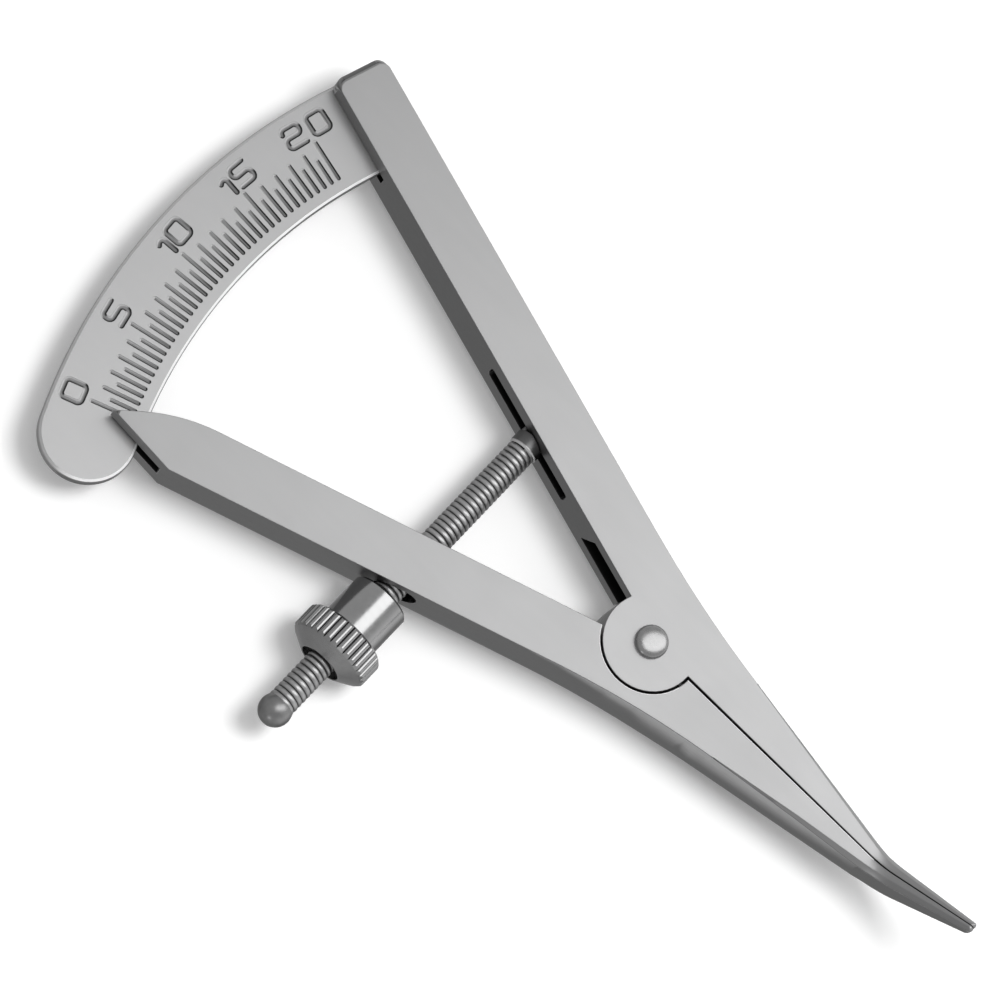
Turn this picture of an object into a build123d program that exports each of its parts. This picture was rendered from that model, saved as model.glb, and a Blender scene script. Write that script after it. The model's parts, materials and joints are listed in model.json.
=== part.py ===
from build123d import *
from math import asin, atan2, cos, degrees, hypot, pi, radians, sin, sqrt, tan
import os

os.makedirs("parts", exist_ok=True)

# Surgical caliper, in millimetres. Everything is first drawn about the pivot: X runs to
# the jaw tips, Y towards the scale arm and Z up out of the reading side, with z = 0 in
# the plane where the two leaves of the joint meet. The last step moves the whole
# instrument so that the origin is the bottom centre of its box.

# Arms, each a straight bar whose inner flank passes the pivot at a small distance
ARM_THICKNESS = 5.0
ARM_WIDTH = 4.6
ARM_INSET = 0.48
SCALE_SPLAY = 16.9
POINTER_SPLAY = 18.3
SCALE_ARM_OVERHANG = 0.1
SCALE_END_RADIUS = 0.8
SCALE_END_CHAMFER = 0.5
POINTER_OVERLAP = 2.9
POINTER_TIP_OFFSET = 2.7
POINTER_BEAK = 5.9
POINTER_NOSE_SLOPE = 24.0
POINTER_NOSE_RADIUS = 15.5
POINTER_TIP_CHAMFER = 0.5
SHOULDER_RADIUS = 100.0
HEEL_RADIUS = 50.0

# Measuring jaws, which taper in both views and turn up at the bend
JAW_REACH = 33.8
FULL_OPENING = 20.0
JAW_ROOT = 6.0
JAW_ROOT_WIDTH = 4.15
JAW_BEND = 25.6
JAW_BEND_WIDTH = 1.1
JAW_TIP_WIDTH = 0.45
JAW_TIP_RADIUS = 0.3
JAW_HEEL = 4.5
JAW_BEND_THICKNESS = 3.25
JAW_TIP_THICKNESS = 1.05
JAW_RISE_ANGLE = 32.4
FRONT_BEND_RADIUS = 4.5
BACK_BEND_RADIUS = 7.0
JAW_NOSE_RADIUS = 0.35
PARTING_GAP = 0.24
TIP_GAP = 0.05
BAND_START_WIDTH = 0.05
BAND_BEND_WIDTH = 0.42
BAND_TIP_WIDTH = 0.26
BAND_STEPS = 4

# Half-lap joint, with a round pocket for the spring in both leaves
JOINT_RADIUS = 4.0
JOINT_GAP = 0.2
LAP_CLEARANCE = 0.04
RUNNING_FIT = 0.04

# Rivet
RIVET_DIAMETER = 2.0
RIVET_HEAD_DIAMETER = 2.78
RIVET_HEAD_HEIGHT = 1.0
RIVET_HEAD_RIM = 0.3
RIVET_SINK_DIAMETER = 3.2
RIVET_SINK_DEPTH = 0.6

# Return spring and the slots where its legs lie
SPRING_WIRE = 0.6
SPRING_RADIUS = 2.65
SPRING_HEIGHT = 1.47
SPRING_LEG = 8.1
SPRING_ARCS = 6
SPRING_SAMPLES = 400
POCKET_CLEARANCE = 0.45
POCKET_DEPTH_CLEARANCE = 0.17
LEG_SLOT_CLEARANCE = 0.23
LEG_END_CLEARANCE = 2.1
LEG_SLOT_SLANT = 1.1

# Scale plate and its two pins
PLATE_INNER_RADIUS = 43.6
PLATE_WIDTH = 8.0
PLATE_THICKNESS = 1.0
PLATE_END_ANGLE = 24.0
PLATE_BEVEL = 0.25
PLATE_SEAT = 3.0
PLATE_SEAT_CLEARANCE = 0.1
PLATE_SLOT_CLEARANCE = 0.05
PLATE_SLOT_RELIEF = 0.5
POINTER_SLOT_CLEARANCE = 0.25
POINTER_SLOT_RELIEF = 2.5
PLATE_PIN_DIAMETER = 1.0
PLATE_PIN_EDGE = 2.0
PLATE_PIN_OVERLAP = 1.0

# Adjusting screw, which swings on a pin in the scale arm
ROD_SETBACK = 17.85
THREAD_DIAMETER = 2.5
THREAD_RELIEF = 0.05
THREAD_END = 32.35
BOSS_END = 3.6
BOSS_CLEARANCE = 0.08
NECK_DIAMETER = 2.0
BALL_DIAMETER = 2.8
BALL_REACH = 33.2
TANG_THICKNESS = 1.4
TANG_RADIUS = 1.2
TANG_CLEARANCE = 0.05
SWIVEL_PIN_DIAMETER = 1.15
SWIVEL_PIN_TOP = 1.6
SWIVEL_SLOT_BACK = 5.9
SWIVEL_SLOT_FRONT = 6.0
SLOT_CORNER_RADIUS = 0.3
ROD_HOLE_CLEARANCE = 0.15
ROD_HOLE_OVERSHOOT = 0.1

# Thrust sleeve and knurled nut on the screw
SLEEVE_DIAMETER = 5.1
SLEEVE_LENGTH = 4.2
SLEEVE_EDGE = 0.2
SLEEVE_SEAT_GAP = 0.12
NUT_FACE_GAP = 0.03
NUT_DIAMETER = 7.25
NUT_TEETH = 32
NUT_TOOTH_DEPTH = 0.28
NUT_TOOTH_CHAMFER = 0.25
NUT_LENGTH = 2.3
NUT_CONE_LENGTH = 0.85
NUT_RIM_DIAMETER = 4.0
NUT_COUNTERBORE_DIAMETER = 3.7
NUT_COUNTERBORE_DEPTH = 1.0

PLATE_OUTER_RADIUS = PLATE_INNER_RADIUS + PLATE_WIDTH
SCALE_ARM_LENGTH = PLATE_OUTER_RADIUS + SCALE_ARM_OVERHANG
POINTER_LENGTH = PLATE_INNER_RADIUS + POINTER_OVERLAP
HALF_THICKNESS = ARM_THICKNESS / 2
ARM_OUTSET = ARM_INSET + ARM_WIDTH
ARM_MIDDLE = ARM_INSET + ARM_WIDTH / 2
RIVET_RADIUS = RIVET_DIAMETER / 2
CUT_MARGIN = 1.0

# Both arms are drawn above the X axis. A point on an arm is given by its distance
# along the arm from the pivot and its offset from the pivot, outwards.


def on_arm(splay, along, offset):
    """Plan point of an arm that is splayed from -X towards +Y."""
    turn = radians(splay)
    return Vector(
        offset * sin(turn) - along * cos(turn),
        offset * cos(turn) + along * sin(turn),
        0,
    )


def arm_block(splay, along, offset, low, high):
    """Box cut from an arm, given its range along the arm, across it and in height."""
    corners = [
        on_arm(splay, along[0], offset[0]),
        on_arm(splay, along[1], offset[0]),
        on_arm(splay, along[1], offset[1]),
        on_arm(splay, along[0], offset[1]),
    ]
    face = make_face(Polyline(*corners, close=True))
    return extrude(Pos(0, 0, low) * face, high - low, dir=(0, 0, 1))


def crossing(first, second):
    """Plan point where two lines meet, each given by two points."""
    (a, b), (c, d) = first, second
    run, other = b - a, d - c
    gap = c - a
    scale = (gap.X * other.Y - gap.Y * other.X) / (run.X * other.Y - run.Y * other.X)
    return a + run * scale


def jaw_edge(x):
    """Outer edge of the jaws between the joint and the bend."""
    slope = (JAW_BEND_WIDTH - JAW_ROOT_WIDTH) / (JAW_BEND - JAW_ROOT)
    return JAW_ROOT_WIDTH + slope * (x - JAW_ROOT)


def tip_edge(x):
    """Outer edge of the jaws between the bend and the tips."""
    slope = (JAW_TIP_WIDTH - JAW_BEND_WIDTH) / (JAW_REACH - JAW_BEND)
    return JAW_BEND_WIDTH + slope * (x - JAW_BEND)


def shoulder(splay):
    """Plan point where the arm's outer flank would meet the jaw's outer edge."""
    flank = (on_arm(splay, 0, ARM_OUTSET), on_arm(splay, ARM_WIDTH, ARM_OUTSET))
    jaw = (Vector(JAW_ROOT, jaw_edge(JAW_ROOT), 0), Vector(JAW_BEND, jaw_edge(JAW_BEND), 0))
    return crossing(flank, jaw)


def arm_plan(splay, end_points, end_radii):
    """Outline of one arm with its jaw: jaw face, inner flank, end, outer flank, jaw back."""
    parting = (Vector(0, PARTING_GAP / 2, 0), Vector(JAW_REACH, TIP_GAP / 2, 0))
    inner = (on_arm(splay, 0, ARM_INSET), on_arm(splay, ARM_WIDTH, ARM_INSET))
    points = [parting[1], crossing(parting, inner), *end_points, shoulder(splay)]
    points += [Vector(JAW_BEND, JAW_BEND_WIDTH, 0), Vector(JAW_REACH, JAW_TIP_WIDTH, 0)]
    radii = [0, 0, *end_radii, SHOULDER_RADIUS, 0, JAW_TIP_RADIUS]
    return make_face(FilletPolyline(*points, radius=radii, close=True))


def arm_profile():
    """Side view of both arms: flat bar, heel, bend and rising tips."""
    rise = radians(JAW_RISE_ANGLE)
    tip_height = HALF_THICKNESS + (JAW_REACH - JAW_BEND) * tan(rise)
    end = -SCALE_ARM_LENGTH - ARM_WIDTH
    points = [
        (end, -HALF_THICKNESS),
        (JAW_HEEL, -HALF_THICKNESS),
        (JAW_BEND + JAW_BEND_THICKNESS * sin(rise / 2),
         HALF_THICKNESS - JAW_BEND_THICKNESS * cos(rise / 2)),
        (JAW_REACH, tip_height - JAW_TIP_THICKNESS / cos(rise)),
        (JAW_REACH, tip_height),
        (JAW_BEND, HALF_THICKNESS),
        (end, HALF_THICKNESS),
    ]
    radii = [0, HEEL_RADIUS, BACK_BEND_RADIUS, JAW_NOSE_RADIUS, JAW_NOSE_RADIUS]
    radii += [FRONT_BEND_RADIUS, 0]
    outline = FilletPolyline(*points, radius=radii, close=True)
    return Plane.XZ * make_face(outline)


def band_section(x, z, tilt, edge, width):
    """Triangle that cuts a bevel of one width at a station of the jaw's front edge."""
    up = Vector(-sin(tilt), 0, cos(tilt))
    corner = Vector(x, edge, z)
    across = Vector(0, width, 0)
    inside = corner - across * 2 + up * width
    below = corner + across - up * (width * 2)
    outside = corner + across + up * width
    return make_face(Polyline(inside, below, outside, close=True))


def jaw_band(splay):
    """Cutter for the bevel that widens along the jaw's outer front edge to the bend."""
    rise = radians(JAW_RISE_ANGLE)
    corner = shoulder(splay)
    turn = radians(splay) - atan2(JAW_ROOT_WIDTH - JAW_BEND_WIDTH, JAW_BEND - JAW_ROOT)
    start = corner.X + SHOULDER_RADIUS * tan(turn / 2)
    tangent = FRONT_BEND_RADIUS * tan(rise / 2)
    stations = [(start, HALF_THICKNESS, 0.0, jaw_edge(start), BAND_START_WIDTH)]
    for step in range(BAND_STEPS + 1):
        tilt = rise * step / BAND_STEPS
        x = JAW_BEND - tangent + FRONT_BEND_RADIUS * sin(tilt)
        z = HALF_THICKNESS + FRONT_BEND_RADIUS * (1 - cos(tilt))
        edge = jaw_edge(x) if x < JAW_BEND else tip_edge(x)
        stations.append((x, z, tilt, edge, BAND_BEND_WIDTH))
    past = JAW_REACH + CUT_MARGIN
    tip_z = HALF_THICKNESS + (past - JAW_BEND) * tan(rise)
    stations.append((past, tip_z, rise, tip_edge(past), BAND_TIP_WIDTH))
    sections = [band_section(*station) for station in stations]
    return loft(sections, ruled=True)


def bar(splay, end_points, end_radii):
    """One arm before its joint and slots are cut."""
    plan = arm_plan(splay, end_points, end_radii)
    height = ARM_THICKNESS + JAW_REACH
    block = extrude(Pos(0, 0, -height) * plan, 2 * height, dir=(0, 0, 1))
    profile = extrude(arm_profile(), SCALE_ARM_LENGTH, both=True)
    return (block & profile) - jaw_band(splay)


def disc(radius, low, high):
    """Round block about the pivot's axis between two heights."""
    return extrude(Pos(0, 0, low) * Circle(radius), high - low, dir=(0, 0, 1))


def spring_pocket(low, high):
    """Ring-shaped pocket for the coil."""
    half_wire = SPRING_WIRE / 2 + POCKET_CLEARANCE
    return disc(SPRING_RADIUS + half_wire, low, high) - disc(SPRING_RADIUS - half_wire, low, high)


def leg_slot(splay):
    """Slot along an arm's inner flank for one leg of the spring, with a slanted end."""
    half = SPRING_HEIGHT / 2 + SPRING_WIRE / 2 + POCKET_DEPTH_CLEARANCE
    bottom = SPRING_RADIUS + SPRING_WIRE / 2 + LEG_SLOT_CLEARANCE
    end = SPRING_LEG + LEG_END_CLEARANCE
    top = SPRING_RADIUS - SPRING_WIRE / 2 - LEG_SLOT_CLEARANCE
    entry = arm_block(splay, (0, end - LEG_SLOT_SLANT), (top, bottom), -half, half)
    outline = make_face(Polyline(
        (SPRING_RADIUS, -half), (end, -half), (end - LEG_SLOT_SLANT, half), (SPRING_RADIUS, half),
        close=True,
    ))
    side = Plane(
        origin=on_arm(splay, 0, ARM_INSET),
        x_dir=on_arm(splay, 1, 0),
        z_dir=on_arm(splay, 0, 1),
    )
    flank = extrude(side * outline, bottom - ARM_INSET, dir=on_arm(splay, 0, 1))
    return entry + flank


# Screw geometry: the swivel pin stands on the middle line of the scale arm, the rod runs
# along -Y and passes the pointer arm at the swivel's mirror image, so it stays in line
# while the arms close.
SWIVEL_TURN = radians(SCALE_SPLAY)
SWIVEL_OFFSET = (ARM_MIDDLE + ROD_SETBACK * sin(SWIVEL_TURN)) / cos(SWIVEL_TURN)
SWIVEL_POINT = Vector(-ROD_SETBACK, SWIVEL_OFFSET, 0)
SWIVEL_ALONG = sqrt(hypot(ROD_SETBACK, SWIVEL_OFFSET) ** 2 - ARM_MIDDLE ** 2)
OPENING_ANGLE = 2 * degrees(asin(FULL_OPENING / 2 / JAW_REACH))

POINTER_TURN = radians(POINTER_SPLAY)
CROSSING_ALONG = ROD_SETBACK * cos(POINTER_TURN) + SWIVEL_OFFSET * sin(POINTER_TURN)
CROSSING_DEPTH = SWIVEL_OFFSET * cos(POINTER_TURN) - ROD_SETBACK * sin(POINTER_TURN)
OUTER_RUN = ARM_OUTSET - CROSSING_DEPTH
INNER_RUN = CROSSING_DEPTH - ARM_INSET

THREAD_RADIUS = THREAD_DIAMETER / 2
SLEEVE_START = (
    2 * SWIVEL_OFFSET
    + OUTER_RUN / cos(POINTER_TURN)
    + SLEEVE_DIAMETER / 2 * tan(POINTER_TURN)
    + SLEEVE_SEAT_GAP
)
SLEEVE_END = SLEEVE_START + SLEEVE_LENGTH
NUT_START = SLEEVE_END + NUT_FACE_GAP
ROD_FRAME = Plane(origin=SWIVEL_POINT, x_dir=(1, 0, 0), z_dir=(0, -1, 0)).location


def turned(points):
    """Body turned about the rod's axis from points (radius, distance from the swivel)."""
    profile = make_face(Polyline(*points, close=True))
    return ROD_FRAME * revolve(Plane.XZ * profile, axis=Axis.Z)


def rod_hole():
    """Slanting hole through the pointer arm, just long enough for the rod to swing in it."""
    leans = [radians(POINTER_SPLAY), radians(POINTER_SPLAY - OPENING_ANGLE / 2)]
    width = THREAD_DIAMETER + 2 * ROD_HOLE_CLEARANCE

    def mouth(depth):
        far = max(depth * tan(lean) + THREAD_RADIUS / cos(lean) for lean in leans)
        near = min(depth * tan(lean) - THREAD_RADIUS / cos(lean) for lean in leans)
        side = Plane(
            origin=on_arm(
                POINTER_SPLAY, CROSSING_ALONG + (far + near) / 2, CROSSING_DEPTH + depth
            ),
            x_dir=on_arm(POINTER_SPLAY, 1, 0),
            z_dir=on_arm(POINTER_SPLAY, 0, 1),
        )
        return side * SlotOverall(far - near + 2 * ROD_HOLE_CLEARANCE, width)

    depths = (-INNER_RUN - ROD_HOLE_OVERSHOOT, OUTER_RUN + ROD_HOLE_OVERSHOOT)
    return loft([mouth(depth) for depth in depths], ruled=True)


def swivel_slot():
    """Slot in the scale arm's inner flank, where the screw's tongue swings."""
    width = TANG_THICKNESS + 2 * TANG_CLEARANCE
    bottom = ARM_MIDDLE + TANG_RADIUS + TANG_CLEARANCE
    start = SWIVEL_ALONG - SWIVEL_SLOT_FRONT
    length = SWIVEL_SLOT_FRONT + SWIVEL_SLOT_BACK
    side = Plane(
        origin=on_arm(SCALE_SPLAY, start + length / 2, ARM_INSET - CUT_MARGIN),
        x_dir=on_arm(SCALE_SPLAY, 1, 0),
        z_dir=on_arm(SCALE_SPLAY, 0, 1),
    )
    mouth = RectangleRounded(length, width, SLOT_CORNER_RADIUS)
    return extrude(side * mouth, bottom - ARM_INSET + CUT_MARGIN, dir=on_arm(SCALE_SPLAY, 0, 1))


def plate_pin_places():
    """Plan points of the two pins that hold the scale plate."""
    across = ARM_INSET + PLATE_SEAT / 2
    reaches = (PLATE_INNER_RADIUS + PLATE_PIN_EDGE, PLATE_OUTER_RADIUS - PLATE_PIN_EDGE)
    return [on_arm(SCALE_SPLAY, reach, across) for reach in reaches]


def pin(place, radius, low, high):
    """Upright pin, or the hole for it."""
    return extrude(Pos(place.X, place.Y, low) * Circle(radius), high - low, dir=(0, 0, 1))


def plate_pins():
    """The pins stand in the scale arm from its back and stop short of its front."""
    top = PLATE_THICKNESS / 2 + PLATE_PIN_OVERLAP
    radius = PLATE_PIN_DIAMETER / 2
    return [pin(place, radius, -HALF_THICKNESS, top) for place in plate_pin_places()]


def scale_plate():
    """Arc-shaped plate with a full round end and a bevelled front edge."""
    far = 2 * PLATE_OUTER_RADIUS
    end_angle = radians(180 + PLATE_END_ANGLE)
    seat = ARM_INSET + PLATE_SEAT
    sector = make_face(Polyline(
        (0, 0), (far * cos(end_angle), far * sin(end_angle)), (-far, 0),
        on_arm(SCALE_SPLAY, far, seat), on_arm(SCALE_SPLAY, 0, seat),
        close=True,
    ))
    middle = PLATE_INNER_RADIUS + PLATE_WIDTH / 2
    round_end = Pos(middle * cos(end_angle), middle * sin(end_angle)) * Circle(PLATE_WIDTH / 2)
    outline = (Circle(PLATE_OUTER_RADIUS) - Circle(PLATE_INNER_RADIUS)) & sector
    outline = outline + round_end
    half = PLATE_THICKNESS / 2
    plate = extrude(Pos(0, 0, -half) * outline, PLATE_THICKNESS, dir=(0, 0, 1))
    arcs = plate.edges().filter_by(GeomType.CIRCLE)
    front = [edge for edge in arcs if edge.center().Z > half / 2]
    plate = chamfer(front, PLATE_BEVEL)
    for hole in plate_pins():
        plate = plate - hole
    return plate


def rivet_shank(clearance):
    """Shank of the rivet and its countersunk tail, or the hole for them."""
    profile = Polyline(
        (0, -HALF_THICKNESS),
        (RIVET_SINK_DIAMETER / 2 + clearance, -HALF_THICKNESS),
        (RIVET_RADIUS + clearance, -HALF_THICKNESS + RIVET_SINK_DEPTH),
        (RIVET_RADIUS + clearance, HALF_THICKNESS),
        (0, HALF_THICKNESS),
        close=True,
    )
    return revolve(Plane.XZ * make_face(profile), axis=Axis.Z)


def pivot_rivet():
    """Rivet with a countersunk tail at the back and a domed head on the front."""
    head = RIVET_HEAD_DIAMETER / 2
    top = HALF_THICKNESS + RIVET_HEAD_HEIGHT
    dome_height = RIVET_HEAD_HEIGHT - RIVET_HEAD_RIM
    dome_radius = (head ** 2 + dome_height ** 2) / (2 * dome_height)
    dome = Pos(0, 0, top - dome_radius) * Sphere(dome_radius)
    return rivet_shank(0) + (disc(head, HALF_THICKNESS, top) & dome)


def end_chamfer():
    """Cutter for the chamfer round the front edge of the scale arm's end."""
    def layer(height, reach):
        frame = Plane(origin=(0, 0, height), x_dir=on_arm(SCALE_SPLAY, 1, 0), z_dir=(0, 0, 1))
        end = RectangleRounded(2 * ARM_WIDTH, ARM_WIDTH, SCALE_END_RADIUS)
        return frame * (Pos(reach - ARM_WIDTH, -ARM_MIDDLE) * end)

    low, high = HALF_THICKNESS - SCALE_END_CHAMFER, HALF_THICKNESS + SCALE_END_CHAMFER
    kept = loft(
        [layer(low, SCALE_ARM_LENGTH), layer(high, SCALE_ARM_LENGTH - 2 * SCALE_END_CHAMFER)],
        ruled=True,
    )
    along = (SCALE_ARM_LENGTH - ARM_WIDTH, SCALE_ARM_LENGTH + CUT_MARGIN)
    offset = (ARM_INSET - CUT_MARGIN, ARM_OUTSET + CUT_MARGIN)
    return arm_block(SCALE_SPLAY, along, offset, low, high) - kept


def scale_arm():
    """Arm with the front leaf of the joint, the plate's slot and the screw's swivel."""
    end_points = [
        on_arm(SCALE_SPLAY, SCALE_ARM_LENGTH, ARM_INSET),
        on_arm(SCALE_SPLAY, SCALE_ARM_LENGTH, ARM_OUTSET),
    ]
    arm = bar(SCALE_SPLAY, end_points, [SCALE_END_RADIUS, SCALE_END_RADIUS])
    arm = arm - end_chamfer()
    low, high = -HALF_THICKNESS - CUT_MARGIN, LAP_CLEARANCE / 2
    arm = arm - disc(JOINT_RADIUS + JOINT_GAP, low, high)
    arm = arm + disc(JOINT_RADIUS, high, HALF_THICKNESS)
    depth = SPRING_HEIGHT / 2 + SPRING_WIRE / 2 + POCKET_DEPTH_CLEARANCE
    arm = arm - spring_pocket(-CUT_MARGIN, depth)
    arm = arm - leg_slot(SCALE_SPLAY)
    arm = arm - disc(RIVET_RADIUS, -CUT_MARGIN, HALF_THICKNESS + CUT_MARGIN)
    arm = arm - swivel_slot()
    arm = arm - pin(SWIVEL_POINT, SWIVEL_PIN_DIAMETER / 2, -HALF_THICKNESS, SWIVEL_PIN_TOP)
    slot_half = PLATE_THICKNESS / 2 + PLATE_SLOT_CLEARANCE
    slot_bottom = ARM_INSET + PLATE_SEAT + PLATE_SEAT_CLEARANCE
    slot_start = sqrt(PLATE_INNER_RADIUS ** 2 - slot_bottom ** 2) - PLATE_SLOT_RELIEF
    arm = arm - arm_block(
        SCALE_SPLAY,
        (slot_start, SCALE_ARM_LENGTH + CUT_MARGIN),
        (ARM_INSET - CUT_MARGIN, slot_bottom),
        -slot_half,
        slot_half,
    )
    for hole in plate_pins():
        arm = arm - hole
    return arm


def pointer_arm():
    """Arm with the back leaf of the joint, the rod's hole and the forked pointer."""
    nose = POINTER_LENGTH - (POINTER_TIP_OFFSET - ARM_INSET) / tan(radians(POINTER_NOSE_SLOPE))
    end_points = [
        on_arm(POINTER_SPLAY, nose, ARM_INSET),
        on_arm(POINTER_SPLAY, POINTER_LENGTH, POINTER_TIP_OFFSET),
        on_arm(POINTER_SPLAY, POINTER_LENGTH - POINTER_BEAK, ARM_OUTSET),
    ]
    arm = bar(POINTER_SPLAY, end_points, [POINTER_NOSE_RADIUS, 0, 0])
    low, high = -LAP_CLEARANCE / 2, HALF_THICKNESS + CUT_MARGIN
    arm = arm - disc(JOINT_RADIUS + JOINT_GAP, low, high)
    arm = arm + disc(JOINT_RADIUS, -HALF_THICKNESS, low)
    depth = SPRING_HEIGHT / 2 + SPRING_WIRE / 2 + POCKET_DEPTH_CLEARANCE
    arm = arm - spring_pocket(-depth, CUT_MARGIN)
    arm = arm - leg_slot(POINTER_SPLAY)
    arm = arm - rivet_shank(RUNNING_FIT)
    arm = arm - rod_hole()
    slot_half = PLATE_THICKNESS / 2 + POINTER_SLOT_CLEARANCE
    arm = arm - arm_block(
        POINTER_SPLAY,
        (PLATE_INNER_RADIUS - POINTER_SLOT_RELIEF, POINTER_LENGTH + CUT_MARGIN),
        (ARM_INSET - CUT_MARGIN, ARM_OUTSET + CUT_MARGIN),
        -slot_half,
        slot_half,
    )
    tip = Plane(
        origin=on_arm(POINTER_SPLAY, POINTER_LENGTH, 0),
        x_dir=on_arm(POINTER_SPLAY, 1, 0),
        z_dir=on_arm(POINTER_SPLAY, 0, 1),
    )
    corner = make_face(Polyline(
        (-2 * POINTER_TIP_CHAMFER, HALF_THICKNESS + POINTER_TIP_CHAMFER),
        (POINTER_TIP_CHAMFER, HALF_THICKNESS + POINTER_TIP_CHAMFER),
        (POINTER_TIP_CHAMFER, HALF_THICKNESS - 2 * POINTER_TIP_CHAMFER),
        close=True,
    ))
    arm = arm - extrude(tip * corner, ARM_OUTSET, dir=on_arm(POINTER_SPLAY, 0, 1))
    return mirror(arm, Plane.XZ)


def return_spring():
    """Torsion spring: a coil about the rivet whose legs lie along the two arms."""
    first = radians(90 - SCALE_SPLAY)
    last = -radians(90 - POINTER_SPLAY)
    sweep_angle = first - last + 2 * pi

    def coil_point(share):
        turn = first - sweep_angle * share
        climb = share - sin(2 * pi * share) / (2 * pi)
        return Vector(
            SPRING_RADIUS * cos(turn),
            SPRING_RADIUS * sin(turn),
            SPRING_HEIGHT * (0.5 - climb),
        )

    start, end = coil_point(0), coil_point(1)
    upper_leg = start + on_arm(SCALE_SPLAY, SPRING_LEG, 0)
    lower = on_arm(POINTER_SPLAY, SPRING_LEG, 0)
    lower_leg = end + Vector(lower.X, -lower.Y, 0)
    edges = [Line(upper_leg, start)]
    for arc in range(SPRING_ARCS):
        shares = [(arc + part) / SPRING_ARCS for part in (0, 0.5, 1)]
        edges.append(ThreePointArc(*[coil_point(share) for share in shares]))
    edges.append(Line(end, lower_leg))
    path = Wire([line.edge() for line in edges])
    section = Plane(origin=upper_leg, z_dir=start - upper_leg) * Circle(SPRING_WIRE / 2)
    wire = sweep(section, path=path)
    samples = [coil_point(step / SPRING_SAMPLES) for step in range(SPRING_SAMPLES + 1)]
    half_turn = int(SPRING_SAMPLES * pi / sweep_angle)
    gap = min(
        (samples[i] - samples[j]).length
        for i in range(len(samples))
        for j in range(i + half_turn, len(samples))
    )
    print("least gap of the spring to itself, mm:", round(gap - SPRING_WIRE, 3))
    return wire


def adjusting_screw():
    """Screw with a flat tongue, a plain boss, the threaded length, a neck and a ball."""
    core = THREAD_RADIUS - THREAD_RELIEF
    neck = NECK_DIAMETER / 2
    rod = turned([
        (0, 0), (THREAD_RADIUS, 0), (THREAD_RADIUS, BOSS_END), (core, BOSS_END),
        (core, THREAD_END), (neck, THREAD_END), (neck, BALL_REACH), (0, BALL_REACH),
    ])
    # The boss ends where the arm's flank passes it, closed and opened
    reach = (SWIVEL_ALONG - ARM_WIDTH, SWIVEL_ALONG + ARM_WIDTH)
    depth = (ARM_INSET - BOSS_CLEARANCE, ARM_OUTSET)
    flank = arm_block(SCALE_SPLAY, reach, depth, -THREAD_DIAMETER, THREAD_DIAMETER)
    for turn in (0, OPENING_ANGLE / 2):
        rod = rod - Pos(SWIVEL_POINT) * Rot(0, 0, turn) * Pos(-SWIVEL_POINT) * flank
    ball = ROD_FRAME * (Pos(0, 0, BALL_REACH) * Sphere(BALL_DIAMETER / 2))
    half = TANG_THICKNESS / 2
    tongue = Pos(0, 0, BOSS_END / 2) * Box(2 * TANG_RADIUS, TANG_THICKNESS, BOSS_END)
    tongue = ROD_FRAME * tongue + pin(SWIVEL_POINT, TANG_RADIUS, -half, half)
    hole = pin(SWIVEL_POINT, SWIVEL_PIN_DIAMETER / 2 + RUNNING_FIT, -CUT_MARGIN, CUT_MARGIN)
    return rod + ball + tongue - hole


def swivel_pin():
    """Pin in the scale arm on which the screw swings."""
    return pin(SWIVEL_POINT, SWIVEL_PIN_DIAMETER / 2, -HALF_THICKNESS, SWIVEL_PIN_TOP)


def thrust_sleeve():
    """Smooth collar that slides on the screw and pushes the pointer arm."""
    outer = SLEEVE_DIAMETER / 2
    bore = THREAD_RADIUS + RUNNING_FIT
    return turned([
        (bore, SLEEVE_START), (outer - SLEEVE_EDGE, SLEEVE_START),
        (outer, SLEEVE_START + SLEEVE_EDGE), (outer, SLEEVE_END), (bore, SLEEVE_END),
    ])


def knurled_nut():
    """Nut with straight rounded teeth, a coned outer face and a counterbored thread."""
    crest = NUT_DIAMETER / 2
    root = crest - NUT_TOOTH_DEPTH
    pitch = 2 * pi / NUT_TEETH
    teeth = []
    for tooth in range(NUT_TEETH):
        angles = [pitch * (tooth + part) for part in (0, 0.5, 1)]
        radii = (root, crest, root)
        points = [(r * cos(a), r * sin(a)) for r, a in zip(radii, angles)]
        teeth.append(ThreePointArc(*points).edge())
    grip = make_face(Wire(teeth))
    end = NUT_START + NUT_LENGTH + NUT_CONE_LENGTH
    knurl = ROD_FRAME * extrude(Pos(0, 0, NUT_START) * grip, end - NUT_START, dir=(0, 0, 1))
    side_end = NUT_START + NUT_LENGTH
    bore = THREAD_RADIUS
    sink = NUT_COUNTERBORE_DIAMETER / 2
    blank = turned([
        (bore, NUT_START), (crest - NUT_TOOTH_CHAMFER, NUT_START),
        (crest, NUT_START + NUT_TOOTH_CHAMFER), (crest, side_end - NUT_TOOTH_CHAMFER),
        (crest - NUT_TOOTH_CHAMFER, side_end), (NUT_RIM_DIAMETER / 2, end), (sink, end),
        (sink, end - NUT_COUNTERBORE_DEPTH), (bore, end - NUT_COUNTERBORE_DEPTH),
    ])
    return knurl & blank


pieces = {
    "scale_arm": [scale_arm()],
    "pointer_arm": [pointer_arm()],
    "scale_plate": [scale_plate()],
    "scale_plate_pins": plate_pins(),
    "pivot_rivet": [pivot_rivet()],
    "return_spring": [return_spring()],
    "swivel_pin": [swivel_pin()],
    "adjusting_screw": [adjusting_screw()],
    "thrust_sleeve": [thrust_sleeve()],
    "knurled_nut": [knurled_nut()],
}

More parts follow.
